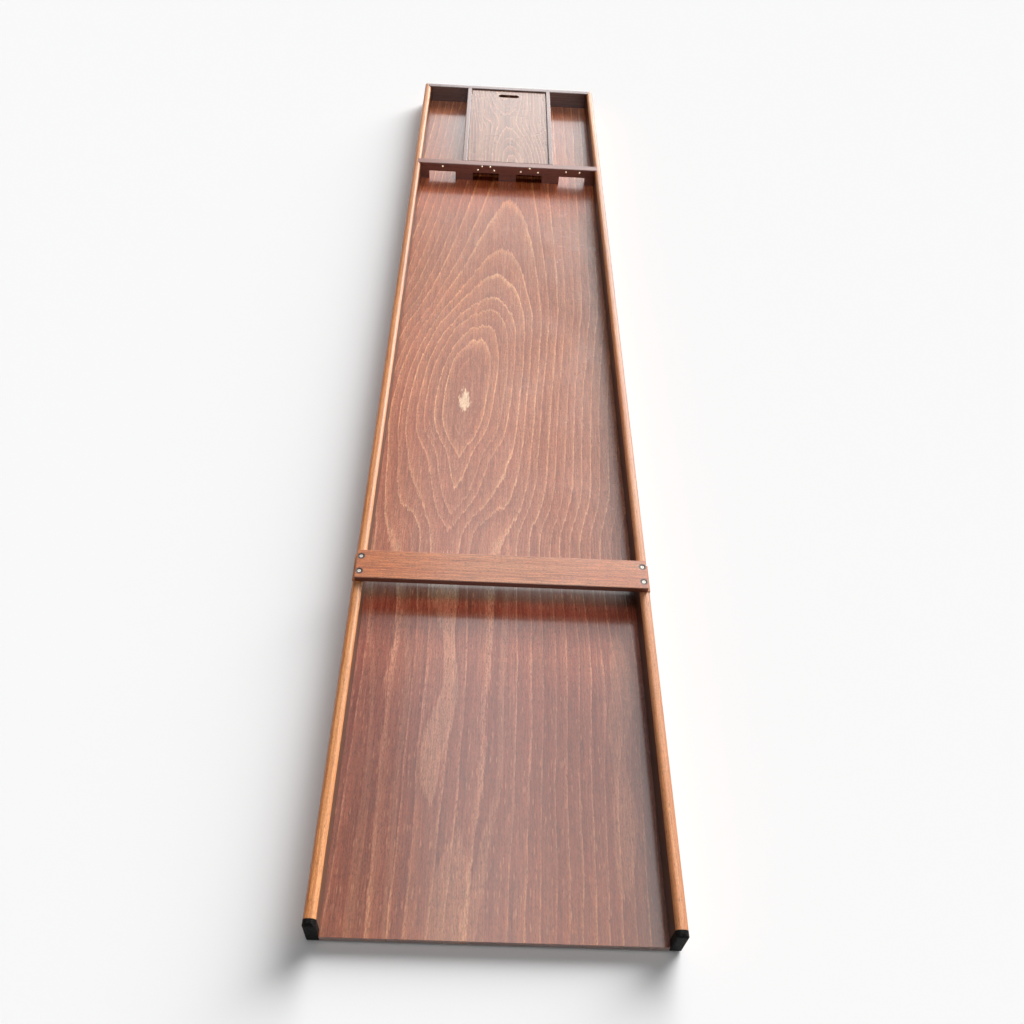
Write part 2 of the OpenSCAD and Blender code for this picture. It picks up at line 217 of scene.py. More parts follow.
def makeRings():
    inputs = {"Place": None, "Field": 0.0, "Spacing": 14.0, "Jag": 6.0, "Force": 1.0}
    tree, take, give = newGroup("growthRings", inputs, {"Tone": "Float", "Line": "Float"})
    place = take["Place"]
    wave = calc(tree, "SUBTRACT", grain(tree, place, *yearRings["wave"]), 0.5)
    tooth = calc(tree, "SUBTRACT", grain(tree, place, *yearRings["tooth"]), 0.5)
    shift = weigh(tree, calc(tree, "MULTIPLY_ADD", wave, yearRings["waveShare"], tooth), take["Jag"])
    phase = calc(tree, "DIVIDE", calc(tree, "ADD", take["Field"], shift), take["Spacing"])
    part = calc(tree, "FRACT", phase)
    pick = put(tree, "TexWhiteNoise", noise_dimensions="1D")
    feed(tree, pick.inputs["W"], calc(tree, "FLOOR", phase))
    strength = ramp(tree, pick.outputs["Value"], 0.0, 1.0, yearRings["weakest"], 1.0, False)
    strength = weigh(tree, strength, take["Force"])
    feed(tree, give["Tone"], weigh(tree, calc(tree, "POWER", part, yearRings["climb"]), strength))
    edge = weigh(tree, ramp(tree, part, *yearRings["lineRise"]), ramp(tree, part, *yearRings["lineFall"]))
    speck = ramp(tree, grain(tree, place, *yearRings["speck"]), *yearRings["speckRange"])
    broad = ramp(tree, grain(tree, place, *yearRings["broad"]), *yearRings["broadRange"])
    feed(tree, give["Line"], weigh(tree, weigh(tree, edge, strength), weigh(tree, speck, broad)))
    return tree


# worn edges: how far the eased normal leaves the face, broken up by noise

edgeWear = {
    "samples": 4, "bend": (0.02, 0.22), "patch": ((0.06, 0.025, 0.06), 4.0, 0.65), "patchRange": (0.42, 0.62),
}


def makeWear():
    tree, take, give = newGroup("edgeWear", {"Place": None, "Radius": 0.001}, {"Wear": "Float", "Eased": "Vector"})
    eased = put(tree, "Bevel", samples=edgeWear["samples"])
    feed(tree, eased.inputs["Radius"], take["Radius"])
    face = put(tree, "NewGeometry")
    bend = calc(tree, "SUBTRACT", 1.0, vec(tree, "DOT_PRODUCT", eased.outputs[0], face.outputs["Normal"]))
    patch = ramp(tree, grain(tree, take["Place"], *edgeWear["patch"]), *edgeWear["patchRange"])
    feed(tree, give["Wear"], weigh(tree, ramp(tree, bend, *edgeWear["bend"]), patch))
    feed(tree, give["Eased"], eased.outputs[0])
    return tree


# marks of use on a finish: soft smudges, fine lengthwise scratches and dust specks

handling = {  # the noise also has a warp
    "smudge": ((0.012, 0.008, 0.012), 5.0, 0.6, 0.4), "smudgeRange": (0.35, 0.7),
    "scratch": ((1.3, 0.006, 1.3), 1.0, 0.5, 0.15), "scratchRange": (0.66, 0.74),
    "dustScale": (0.028, 0.028, 0.028), "dustGap": (0.035, 0.015), "dustPick": (0.55, 0.6),
}


def makeHandling():
    outputs = ("Smudge", "Scratch", "Dust")
    tree, take, give = newGroup("handling", {"Place": None}, {label: "Float" for label in outputs})
    place = take["Place"]
    feed(tree, give["Smudge"], ramp(tree, grain(tree, place, *handling["smudge"]), *handling["smudgeRange"]))
    feed(tree, give["Scratch"], ramp(tree, grain(tree, place, *handling["scratch"]), *handling["scratchRange"]))
    gap, pick = cells(tree, vec(tree, "MULTIPLY", place, handling["dustScale"]))
    dust = weigh(tree, ramp(tree, gap, *handling["dustGap"]), ramp(tree, pick, *handling["dustPick"]))
    feed(tree, give["Dust"], dust)
    return tree


# dulled metal and plastic

tarnish = {
    "cloud": (5.0, 0.6, 0.3), "cloudRange": (0.35, 0.7),
    "speck": ((4.0, 4.0, 4.0), 2.0, 0.5), "speckRange": (0.58, 0.7),
}


def makeTarnish():
    tree, take, give = newGroup("tarnish", {"Place": None, "Grain": 1.0}, {"Cloud": "Float", "Speck": "Float"})
    spot = vec(tree, "SCALE", take["Place"], take["Grain"])
    feed(tree, give["Cloud"], ramp(tree, noise(tree, spot, *tarnish["cloud"]), *tarnish["cloudRange"]))
    feed(tree, give["Speck"], ramp(tree, grain(tree, spot, *tarnish["speck"]), *tarnish["speckRange"]))
    return tree


fibreGroup, ringGroup, wearGroup = makeFibre(), makeRings(), makeWear()
handlingGroup, tarnishGroup = makeHandling(), makeTarnish()
print("surface groups built")


# figure of a sliced veneer: distance to the heart line of the log, whose side and depth change along the sheet

sheet = {
    "sideSpan": 400.0, "fieldSpan": 200.0,  # millimetres that the curves cover
    "besideHeart": (100.0, 40.0), "patchEdge": (1.0, 0.55), "crumbs": 2.4,
    "tooth": ((0.38, 0.004, 0.38), 3.0, 0.65), "wave": ((0.055, 0.003, 0.055), 2.0, 0.5),
    "sway": ((0.006, 0.004, 0.0), 2.0, 0.5), "crumb": ((0.22, 0.05, 0.0), 3.0, 0.6),
}


def makeFigure(name, figure):
    outputs = ("Field", "Force", "Patch", "Tongue")
    tree, take, give = newGroup(name, {"Place": None}, {label: "Float" for label in outputs})
    place = take["Place"]
    low, high = figure["span"]
    sideSpan, fieldSpan = sheet["sideSpan"], sheet["fieldSpan"]

    def along(at, points, size):  # a value in millimetres that changes along the sheet
        rows = [((y - low) / (high - low), v / size) for y, v in points]
        return weigh(tree, curve(tree, at, rows), size)

    def offset(x, y, wide, long):  # place seen from a spot, in that spot's own widths and lengths
        return vec(tree, "MULTIPLY", vec(tree, "SUBTRACT", place, (x, y, 0.0)), (1 / wide, 1 / long, 0.0))

    acrossSheet, alongSheet = parts(tree, place)[:2]
    tooth = grain(tree, place, *sheet["tooth"])
    wave = grain(tree, place, *sheet["wave"])
    slip = calc(tree, "MULTIPLY_ADD", wave, figure["waves"], weigh(tree, tooth, figure["teeth"]))
    slip = calc(tree, "SUBTRACT", slip, (figure["waves"] + figure["teeth"]) / 2)
    unevenY = ramp(tree, calc(tree, "ADD", alongSheet, slip), low, high, 0.0, 1.0, False)
    sway = grain(tree, place, *sheet["sway"])
    middle = along(unevenY, figure["heart"], sideSpan)
    middle = calc(tree, "ADD", middle, weigh(tree, calc(tree, "SUBTRACT", sway, 0.5), figure["sway"]))
    depth = along(unevenY, figure["depth"], fieldSpan)
    across = calc(tree, "SUBTRACT", acrossSheet, middle)
    field = calc(tree, "SQRT", calc(tree, "ADD", weigh(tree, across, across), weigh(tree, depth, depth)))
    if "pointed" in figure:  # below the heart the rings run to a point
        start, end, power = figure["pointed"]
        lifted = [calc(tree, "POWER", calc(tree, "ABSOLUTE", item), power) for item in (across, depth)]
        sharp = calc(tree, "POWER", calc(tree, "ADD", *lifted), 1.0 / power)
        beside = ramp(tree, calc(tree, "ABSOLUTE", across), *sheet["besideHeart"])
        field = blend(tree, weigh(tree, ramp(tree, alongSheet, start, end), beside), field, sharp)
    for *spot, lift in figure["islands"]:  # small flames beside the heart
        off = offset(*spot)
        swell = calc(tree, "EXPONENT", weigh(tree, vec(tree, "DOT_PRODUCT", off, off), -1.0))
        field = calc(tree, "ADD", field, weigh(tree, swell, lift))
    reach = calc(tree, "DIVIDE", field, fieldSpan)
    if "ringsAt" in figure:  # rings at uneven distances, one for each spacing of the field
        count = len(figure["ringsAt"])
        steps = [(0.0, 0.0)] + [(r / fieldSpan, (i + 1) / count) for i, r in enumerate(figure["ringsAt"])]
        feed(tree, give["Field"], weigh(tree, curve(tree, reach, steps, True), count * figure["step"]))
    else:
        feed(tree, give["Field"], field)
    feed(tree, give["Force"], curve(tree, reach, [(r / fieldSpan, force) for r, force in figure["force"]]))
    tongue = 0.0
    if "tongues" in figure:  # pale flames: rows of y, middle and half width
        ragged = figure["ragged"]
        raggedY = calc(tree, "MULTIPLY_ADD", tooth, ragged, calc(tree, "SUBTRACT", alongSheet, ragged / 2))
        raggedY = ramp(tree, raggedY, low, high, 0.0, 1.0, False)
        for force, soft, outline in figure["tongues"]:
            side = along(raggedY, [(y, x) for y, x, half in outline], sideSpan)
            half = along(raggedY, [(y, half) for y, x, half in outline], sideSpan)
            inside = calc(tree, "ABSOLUTE", calc(tree, "SUBTRACT", acrossSheet, side))
            inside = calc(tree, "SUBTRACT", half, inside)
            tongue = calc(tree, "MAXIMUM", tongue, ramp(tree, inside, -soft, soft, 0.0, force))
    feed(tree, give["Tongue"], tongue)
    patch = 0.0
    if "patch" in figure:  # bare pale heart with a crumbly outline
        crumb = grain(tree, place, *sheet["crumb"])
        near = calc(tree, "ADD", vec(tree, "LENGTH", offset(*figure["patch"])), sheet["crumbs"] / 2)
        patch = ramp(tree, calc(tree, "MULTIPLY_ADD", crumb, -sheet["crumbs"], near), *sheet["patchEdge"])
    feed(tree, give["Patch"], patch)
    return tree


def startMaterial(name):
    mat = bpy.data.materials.new(name)
    mat.use_nodes = True
    tree = mat.node_tree
    tree.nodes.clear()
    shader = put(tree, "BsdfPrincipled")
    tree.links.new(shader.outputs[0], put(tree, "OutputMaterial").inputs["Surface"])
    place = vec(tree, "SCALE", put(tree, "TexCoord").outputs["Object"], 1000.0)  # millimetres in the board's frame
    return mat, tree, shader, place


def emboss(tree, shader, height, normal, relief, distance):
    bump = put(tree, "Bump")
    bump.inputs["Strength"].default_value = relief
    bump.inputs["Distance"].default_value = distance
    feed(tree, bump.inputs["Height"], height)
    feed(tree, bump.inputs["Normal"], normal)
    feed(tree, shader.inputs["Normal"], bump.outputs[0])


# settings of a wood: dark to mid is the tone across a ring and pale its line, streaks to dust are how strongly
# each mark shows, eased is in metres and other lengths are in millimetres

woodMake = {  # what all the woods share
    "quarterTurn": 1.5707963, "boardEnds": (-1000.0, 1000.0), "streakRange": (0.3, 0.7),
    "cloud": ((0.016, 0.0045, 0.016), 3.0, 0.55, 0.5), "cloudRange": (0.32, 0.68),
    "fibreShare": 0.55, "mottleShare": 0.45, "fibreRange": (0.3, 0.7), "dustColour": tone(225, 212, 205),
    "patchCover": 0.8, "outerCover": 0.8, "stainAndPaintedShadeCover": 0.9, "screwShadeCover": 0.95,
    "smudgeRough": 0.06, "scratchRough": 0.10, "wearRough": 0.25, "poreDepth": -0.8, "scratchDepth": -0.25,
    "reliefHeight": 0.0004, "stainAndPaintedShadeLacquer": 0.1,
}


def dressWood(name, wood, figureGroup=None):
    mat, tree, shader, place = startMaterial(name)
    if wood["along"] == "x":  # turn the grain across the board
        turned = put(tree, "VectorRotate", rotation_type="Z_AXIS")
        turned.inputs["Angle"].default_value = woodMake["quarterTurn"]
        feed(tree, turned.inputs["Vector"], place)
        place = turned.outputs[0]
    fibre = use(tree, fibreGroup, Place=place)
    force = 1.0
    if figureGroup:
        figure = use(tree, figureGroup, Place=place)
        field, force = figure["Field"], figure["Force"]
    else:  # sawn from a log whose heart lies off to one side
        x, z = wood["heart"]
        away = vec(tree, "SUBTRACT", place, (x, 0.0, z))
        field = vec(tree, "LENGTH", vec(tree, "MULTIPLY", away, (1.0, wood["taper"], 1.0)))
    rings = use(tree, ringGroup, Place=place, Field=field, Spacing=wood["spacing"], Jag=wood["jag"], Force=force)
    wear = use(tree, wearGroup, Place=place, Radius=wood["eased"])
    marks = use(tree, handlingGroup, Place=place)

    # rings and figure
    colour = mix(tree, rings["Tone"], wood["dark"], wood["mid"])
    streak = ramp(tree, fibre["Streak"], *woodMake["streakRange"])
    colour = mix(tree, weigh(tree, streak, wood["streaks"]), colour, wood["pale"])
    colour = mix(tree, weigh(tree, rings["Line"], wood["lines"]), colour, wood["pale"])
    if "heartwood" in wood:  # pale flames and the bare heart
        colour = mix(tree, figure["Tongue"], colour, wood["pale"])
        colour = mix(tree, weigh(tree, figure["Patch"], woodMake["patchCover"]), colour, wood["heartwood"])
    if "fineRings" in wood:  # weaker lines between the main ones
        spacing, share = wood["fineRings"]
        fine = use(tree, ringGroup, Place=place, Field=field, Spacing=spacing, Jag=wood["jag"])
        colour = mix(tree, weigh(tree, fine["Line"], share), colour, wood["pale"])

    # broad changes of colour over the piece
    if "outer" in wood:  # deeper colour towards the outer faces
        side = calc(tree, "ABSOLUTE", parts(tree, place)[0])
        cover = ramp(tree, side, *wood["outerEdge"], 0.0, woodMake["outerCover"])
        colour = mix(tree, cover, colour, wood["outer"])
    if "clouds" in wood:  # lighter and darker areas
        cloud = grain(tree, place, *woodMake["cloud"])
        cloud = ramp(tree, cloud, *woodMake["cloudRange"], 1.0 - wood["clouds"], 1.0 + wood["clouds"])
        colour = mix(tree, 1.0, colour, grey(tree, cloud), "MULTIPLY")
    if "paintedLightAndTint" in wood:  # red, green and blue levels along the grain: partly the wood's own tint, partly painted light, shade and reflection
        low, high = woodMake["boardEnds"]
        along, height = parts(tree, place)[1:]
        share = ramp(tree, along, low, high, 0.0, 1.0, False)
        lightAndTint = put(tree, "CombineColor")
        for i, socket in enumerate(lightAndTint.inputs):
            rows = [((row[0] - low) / (high - low), row[i + 1]) for row in wood["paintedLightAndTint"]]
            feed(tree, socket, curve(tree, share, rows))
        shown = ramp(tree, height, *wood["paintedLightAndTintFrom"]) if "paintedLightAndTintFrom" in wood else 1.0
        colour = mix(tree, shown, colour, lightAndTint.outputs[0], "MULTIPLY")
    if "screwShade" in wood:  # painted shade round the screw heads, standing in for the dark countersinks
        x, rows, (full, none) = wood["screwShade"]
        spot = vec(tree, "ABSOLUTE", place)
        for row in rows:
            cover = weigh(tree, ramp(tree, flatGap(tree, spot, row, x), none, full), woodMake["screwShadeCover"])
            colour = mix(tree, cover, colour, wood["screwShadeColour"])

    # fibres, pores and marks of use
    fine = weigh(tree, fibre["Fibre"], woodMake["fibreShare"])
    fine = calc(tree, "ADD", fine, weigh(tree, fibre["Mottle"], woodMake["mottleShare"]))
    lightness = ramp(tree, fine, *woodMake["fibreRange"], 1.0 - wood["fibre"], 1.0 + wood["fibre"])
    colour = mix(tree, 1.0, colour, grey(tree, lightness), "MULTIPLY")
    colour = mix(tree, weigh(tree, fibre["Pore"], wood["pores"]), colour, wood["pore"])
    colour = mix(tree, weigh(tree, fibre["Fleck"], wood["flecks"]), colour, wood["pale"])
    lacquer = wood["lacquer"]
    if "stainAndPaintedShade" in wood:  # darker colour on one face, with little lacquer: a real stain on the rails' inner faces, and painted shade on the cross bar's front face
        full, none = wood["stainAndPaintedShadeEdge"]
        stainAndShadeMask = ramp(tree, calc(tree, "ABSOLUTE", parts(tree, place)[0]), none, full)
        colour = mix(tree, weigh(tree, stainAndShadeMask, woodMake["stainAndPaintedShadeCover"]), colour, wood["stainAndPaintedShade"])
        lacquer = ramp(tree, stainAndShadeMask, 0.0, 1.0, lacquer, woodMake["stainAndPaintedShadeLacquer"], False)
    colour = mix(tree, weigh(tree, wear["Wear"], wood["worn"]), colour, wood["bare"])
    colour = mix(tree, weigh(tree, marks["Dust"], wood["dust"]), colour, woodMake["dustColour"])
    feed(tree, shader.inputs["Base Color"], colour)

    # gloss and relief
    gloss = calc(tree, "MULTIPLY_ADD", marks["Smudge"], woodMake["smudgeRough"], wood["gloss"])
    gloss = calc(tree, "MULTIPLY_ADD", marks["Scratch"], woodMake["scratchRough"], gloss)
    feed(tree, shader.inputs["Roughness"], calc(tree, "MULTIPLY_ADD", wear["Wear"], woodMake["wearRough"], gloss))
    height = calc(tree, "MULTIPLY_ADD", fibre["Pore"], woodMake["poreDepth"], fibre["Fibre"])
    height = calc(tree, "MULTIPLY_ADD", marks["Scratch"], woodMake["scratchDepth"], height)
    emboss(tree, shader, height, wear["Eased"], wood["relief"], woodMake["reliefHeight"])
    shader.inputs["Specular IOR Level"].default_value = wood["shine"]
    feed(tree, shader.inputs["Coat Weight"], lacquer)
    shader.inputs["Coat Roughness"].default_value = wood["lacquerRough"]
    return mat


# lacquered veneer floor

floorPanel = {
    "along": "y", "spacing": 13.6, "jag": 2.6, "eased": 0.0006, "fineRings": (6.8, 0.24),
    "dark": tone(148, 72, 48), "mid": tone(182, 103, 71), "pale": tone(230, 164, 120), "pore": tone(92, 40, 26),
    "bare": tone(160, 98, 68), "heartwood": tone(240, 192, 160),
    "streaks": 0.12, "lines": 0.95, "fibre": 0.46, "pores": 1.0, "flecks": 0.25, "worn": 0.6, "dust": 0.2,
    "gloss": 0.22, "relief": 0.14, "shine": 0.6, "lacquer": 1.0, "lacquerRough": 0.13, "clouds": 0.07,
    "paintedLightAndTintFrom": (5.1, 5.5),  # heights that keep the painted light and tint off the underside
    # painted light and shade along the lane, with some of the veneer's own tint: the dark band round -518 mm is a
    # painted reflection of the cross bar, the rise round 560 mm lifts the floor in the gate bar's shadow, and the
    # rise at the far end lifts the floor where it mirrors the dark back wall
    "paintedLightAndTint": [(-1000, 0.71, 0.69, 0.63), (-800, 0.61, 0.6, 0.72), (-650, 0.9, 0.9, 1.06), (-600, 1.1, 1.1, 1.3),
             (-570, 0.95, 0.9, 0.98), (-545, 0.64, 0.6, 0.66), (-518, 0.3, 0.6, 1.0), (-490, 0.6, 0.62, 0.62),
             (-450, 1.0, 1.18, 1.32), (0, 1.16, 1.3, 1.18), (300, 1.14, 1.25, 1.06), (450, 1.2, 1.25, 1.0),
             (560, 1.48, 1.24, 0.84), (650, 1.2, 1.2, 0.96),
             (850, 1.04, 1.12, 1.04), (920, 1.3, 1.36, 1.05), (1000, 1.45, 1.5, 1.05)],
    "figure": {
        "span": (-1000.0, 1000.0), "sway": 10.0, "teeth": 26.0, "waves": 22.0, "ragged": 60.0,
        "pointed": (-140.0, -260.0, 1.25), "patch": (-67, -124, 11, 30),
        "heart": [(-1000, -88), (-800, -82), (-640, -78), (-430, -82), (-339, -73), (-124, -67),
                  (50, -47), (160, -27), (340, -5), (520, 8), (1000, 30)],
        "depth": [(-1000, 88), (-700, 85), (-500, 84), (-432, 81.6), (-381, 68), (-337, 54.4), (-263, 40.8),
                  (-124, 18), (50, 40.8), (93, 54.4), (136, 68), (165, 77), (234, 92), (335, 106), (515, 121),
                  (700, 130), (1000, 140)],
        "force": [(0, 0.25), (30, 0.3), (38, 1.0), (80, 1.0), (92, 0.8), (110, 0.95), (130, 0.85),
                  (160, 0.8), (200, 0.8)],
        "islands": [(156, -718, 16, 75, -9.0)],
        "step": 13.6, "ringsAt": [15, 27, 40.8, 52.5, 68, 79.5, 95.2, 107, 122.4, 134, 149.6, 162, 176.8, 190, 204],
        "tongues": [
            (0.42, 0.8, [(-455, -82, -6), (-490, -81, 14), (-535, -79, 20), (-570, -74, 13), (-604, -70, 8),
                         (-645, -66, 9), (-688, -64, 11), (-720, -71, 14), (-754, -79, 16.5), (-790, -83, 13),
                         (-818, -84, 10), (-840, -81, 4), (-856, -80, -4)]),
            (0.22, 1.2, [(-585, 160, -5), (-616, 161, 10), (-684, 164, 17), (-735, 154, 14), (-789, 152, 8),
                         (-845, 154, 14), (-897, 151, 13), (-933, 147, 8), (-955, 146, -4)]),
            (0.16, 1.2, [(-500, -142, 2), (-558, -135, 6), (-649, -122, 4), (-727, -121, 3.5), (-799, -123, 3),
                         (-916, -121, 4), (-1000, -120, 3)]),
            (0.18, 1.2, [(-500, -188, 4), (-567, -182, 5), (-665, -168, 3.5), (-789, -160, 3.5), (-918, -160, 6),
                         (-1000, -162, 5)]),
            (0.20, 1.5, [(-520, 8, 3), (-588, 6, 4), (-690, 3, 4), (-811, 2, 4), (-872, -9, 5), (-933, -20, 7),
                         (-1000, -29, 6)]),
            (0.22, 1.5, [(-870, -50, -6), (-905, -48, 14), (-950, -52, 22), (-1000, -50, 22)]),
        ],
    },
}
floorWood = dressWood("floorVeneer", floorPanel, makeFigure("floorFigure", floorPanel["figure"]))
print("floor dressed")

# beech rails with a rounded crest

rails = {
    "along": "y", "spacing": 5.0, "jag": 5.0, "eased": 0.0008, "heart": (40.0, -90.0), "taper": 0.012,
    "dark": tone(190, 110, 46), "mid": tone(212, 134, 62), "pale": tone(236, 170, 100), "pore": tone(124, 64, 28),
    "bare": tone(224, 168, 120),
    "streaks": 0.4, "lines": 0.35, "fibre": 0.3, "pores": 0.7, "flecks": 0.3, "worn": 0.5, "dust": 0.2,
    "gloss": 0.38, "relief": 0.16, "shine": 0.3, "lacquer": 0.65, "lacquerRough": 0.25,
    "stainAndPaintedShade": tone(40, 16, 10), "stainAndPaintedShadeEdge": (192.05, 192.6), "outer": tone(188, 98, 36), "outerEdge": (200.0, 206.5),
    # partly the beech's own tint, partly painted light: the paler far end stands in for light caught on the rail
    "paintedLightAndTint": [(-1000, 1.0, 1.1, 1.6), (-500, 1.0, 1.1, 1.6), (0, 1.0, 0.95, 1.0), (300, 0.86, 0.78, 0.62),
             (600, 0.92, 0.88, 0.78), (700, 1.08, 1.12, 1.2), (1000, 1.1, 1.15, 1.3)],
}
railWood = dressWood("railBeech", rails)
rightRail = {  # a plank of its own colour: greyer near the player, darker outside
    **rails, "outer": tone(158, 84, 25),
    # the far end holds the same painted light as the left rail
    "paintedLightAndTint": [(-1000, 1.02, 1.16, 2.1), (-500, 1.02, 1.16, 2.1), (0, 1.0, 0.97, 1.2), (300, 0.84, 0.76, 0.62),
             (600, 0.88, 0.84, 0.76), (700, 1.04, 1.08, 1.18), (1000, 1.06, 1.1, 1.26)],
}
rightRailWood = dressWood("rightRailBeech", rightRail)

# flat bar across the lane

crossBar = {
    "along": "x", "spacing": 6.0, "jag": 6.0, "eased": 0.0010, "heart": (-500.0, -60.0), "taper": 0.010,
    "dark": tone(154, 80, 42), "mid": tone(184, 108, 63), "pale": tone(218, 150, 102), "pore": tone(88, 40, 22),
    "bare": tone(212, 154, 112),
    "streaks": 0.4, "lines": 0.25, "fibre": 0.55, "pores": 0.9, "flecks": 0.3, "worn": 0.5, "dust": 0.4,
    "gloss": 0.28, "relief": 0.16, "shine": 0.8, "lacquer": 0.6, "lacquerRough": 0.2,
    # painted shade: dark rings round the screw heads
    "screwShade": (197.5, (506.5, 532.5), (4.5, 6.2)), "screwShadeColour": tone(36, 21, 15),
    # painted shade: the cross bar's front face is darkened as if in shadow
    "stainAndPaintedShade": tone(92, 46, 26), "stainAndPaintedShadeEdge": (543.95, 543.4),
    "paintedLightAndTint": [(-1000, 1.0, 0.82, 0.52), (-200, 1.0, 0.82, 0.52), (-110, 1.0, 0.9, 0.74), (-30, 0.97, 1.0, 1.08),
             (70, 0.98, 1.0, 1.08), (150, 1.0, 0.9, 0.74), (200, 1.0, 0.86, 0.64), (1000, 1.0, 0.86, 0.64)],
}
crossBarWood = dressWood("crossBarBeech", crossBar)

# gate bar with its four cut-outs

gateBar = {
    "along": "x", "spacing": 6.0, "jag": 5.0, "eased": 0.0008, "heart": (610.0, -40.0), "taper": 0.010,
    "dark": tone(120, 57, 39), "mid": tone(141, 75, 51), "pale": tone(164, 97, 69), "pore": tone(52, 22, 15),
    "bare": tone(170, 110, 80),
    "streaks": 0.35, "lines": 0.3, "fibre": 0.16, "pores": 0.5, "flecks": 0.2, "worn": 0.5, "dust": 0.3,
    "gloss": 0.28, "relief": 0.14, "shine": 0.6, "lacquer": 0.8, "lacquerRough": 0.2,
}
gateWood = dressWood("gateBeech", gateBar)

# partitions, ledges and the back wall

partitions = {
    "along": "y", "spacing": 5.5, "jag": 5.0, "eased": 0.0007, "heart": (30.0, -70.0), "taper": 0.012,
    "dark": tone(104, 54, 38), "mid": tone(126, 70, 49), "pale": tone(152, 94, 68), "pore": tone(56, 26, 18),
    "bare": tone(178, 122, 90),
    "streaks": 0.35, "lines": 0.3, "fibre": 0.15, "pores": 0.5, "flecks": 0.25, "worn": 0.5, "dust": 0.3,
    "gloss": 0.24, "relief": 0.14, "shine": 0.9, "lacquer": 1.0, "lacquerRough": 0.18,
}
partitionWood = dressWood("partitionBeech", partitions)
backWall = {
    **partitions, "along": "x", "heart": (985.0, -40.0), "shine": 0.6,
    "dark": tone(84, 37, 26), "mid": tone(104, 52, 37), "pale": tone(130, 76, 55),
}
wallWood = dressWood("wallBeech", backWall)

# thin lid over the middle compartments

lidPanel = {
    "along": "y", "spacing": 7.0, "jag": 2.0, "eased": 0.0006,
    "dark": tone(112, 58, 34), "mid": tone(164, 98, 64), "pale": tone(232, 180, 140), "pore": tone(78, 43, 31),
    "bare": tone(190, 150, 122),
    "streaks": 0.25, "lines": 1.0, "fibre": 0.45, "pores": 0.6, "flecks": 0.3, "worn": 0.5, "dust": 0.2,
    "gloss": 0.26, "relief": 0.12, "shine": 0.6, "lacquer": 0.8, "lacquerRough": 0.18,
    "figure": {
        "span": (600.0, 1000.0), "sway": 10.0, "teeth": 24.0, "waves": 30.0, "force": [(0, 1.0), (200, 1.0)],
        "heart": [(600, 12), (750, 4), (850, -4), (1000, -14)],
        "depth": [(600, 12), (680, 22), (760, 36), (830, 44), (900, 34), (1000, 18)],
        "islands": [(-58, 850, 16, 45, -14.0)],
    },
}
lidWood = dressWood("lidVeneer", lidPanel, makeFigure("lidFigure", lidPanel["figure"]))

# battens under the floor

battens = {
    "along": "x", "spacing": 6.0, "jag": 5.0, "eased": 0.0008, "heart": (0.0, -60.0), "taper": 0.010,
    "dark": tone(150, 100, 64), "mid": tone(172, 122, 82), "pale": tone(192, 146, 102), "pore": tone(98, 60, 36),
    "bare": tone(205, 165, 122),
    "streaks": 0.4, "lines": 0.4, "fibre": 0.16, "pores": 0.5, "flecks": 0.25, "worn": 0.5, "dust": 0.5,
    "gloss": 0.42, "relief": 0.2, "shine": 0.4, "lacquer": 0.2, "lacquerRough": 0.35,
}
battenWood = dressWood("battenBeech", battens)
print("wood dressed")


# plastic and metal

hardMake = {"reliefHeight": 0.0002}


def dressHard(name, hard):
    mat, tree, shader, place = startMaterial(name)
    dull = use(tree, tarnishGroup, Place=place, Grain=hard["grain"])
    wear = use(tree, wearGroup, Place=place, Radius=hard["eased"])
    colour = mix(tree, weigh(tree, dull["Cloud"], hard["cloud"]), hard["clean"], hard["dull"])
    colour = mix(tree, weigh(tree, dull["Speck"], hard["specks"]), colour, hard["speck"])
    colour = mix(tree, weigh(tree, wear["Wear"], hard["worn"]), colour, hard["bare"])
    if "rimShade" in hard:  # painted shade round the edge of the heads, in the speck colour
        x, rows, (none, full) = hard["rimShade"]
        heads = vec(tree, "ABSOLUTE", place)
        gap = calc(tree, "MINIMUM", *[flatGap(tree, heads, x, row) for row in rows])
        colour = mix(tree, ramp(tree, gap, none, full), colour, hard["speck"])
    feed(tree, shader.inputs["Base Color"], colour)
    shader.inputs["Metallic"].default_value = hard["metal"]
    rough = calc(tree, "MULTIPLY_ADD", dull["Cloud"], hard["roughSpread"], hard["rough"])
    feed(tree, shader.inputs["Roughness"], rough)
    emboss(tree, shader, dull["Speck"], wear["Eased"], hard["relief"], hardMake["reliefHeight"])
    shader.inputs["Specular IOR Level"].default_value = hard["shine"]
    return mat


endCaps = {  # black, scuffed
    "grain": 0.25, "eased": 0.0010, "clean": tone(7, 6, 6), "dull": tone(19, 17, 16), "cloud": 0.7,
    "speck": tone(110, 104, 100), "specks": 0.25,
    "bare": tone(96, 92, 90), "worn": 0.5,
    "metal": 0.0, "rough": 0.6, "roughSpread": 0.2, "relief": 0.15, "shine": 0.08,
}
capPlastic = dressHard("capPlastic", endCaps)
scorePins = {  # polished brass
    "grain": 0.6, "eased": 0.0003, "clean": tone(255, 244, 216), "dull": tone(226, 196, 146), "cloud": 0.5,
    "speck": tone(90, 60, 34), "specks": 0.3,
    "bare": tone(240, 214, 150), "worn": 0.4,
    "metal": 1.0, "rough": 0.16, "roughSpread": 0.15, "relief": 0.08, "shine": 0.5,
}
pinBrass = dressHard("pinBrass", scorePins)
screws = {  # zinc on steel
    "grain": 0.8, "eased": 0.0003, "clean": tone(206, 200, 192), "dull": tone(140, 130, 120), "cloud": 0.7,
    "speck": tone(60, 48, 40), "specks": 0.4,
    "bare": tone(205, 200, 196), "worn": 0.6,
    "metal": 1.0, "rough": 0.34, "roughSpread": 0.25, "relief": 0.12, "shine": 0.5,
}
screwSteel = dressHard("screwSteel", screws)
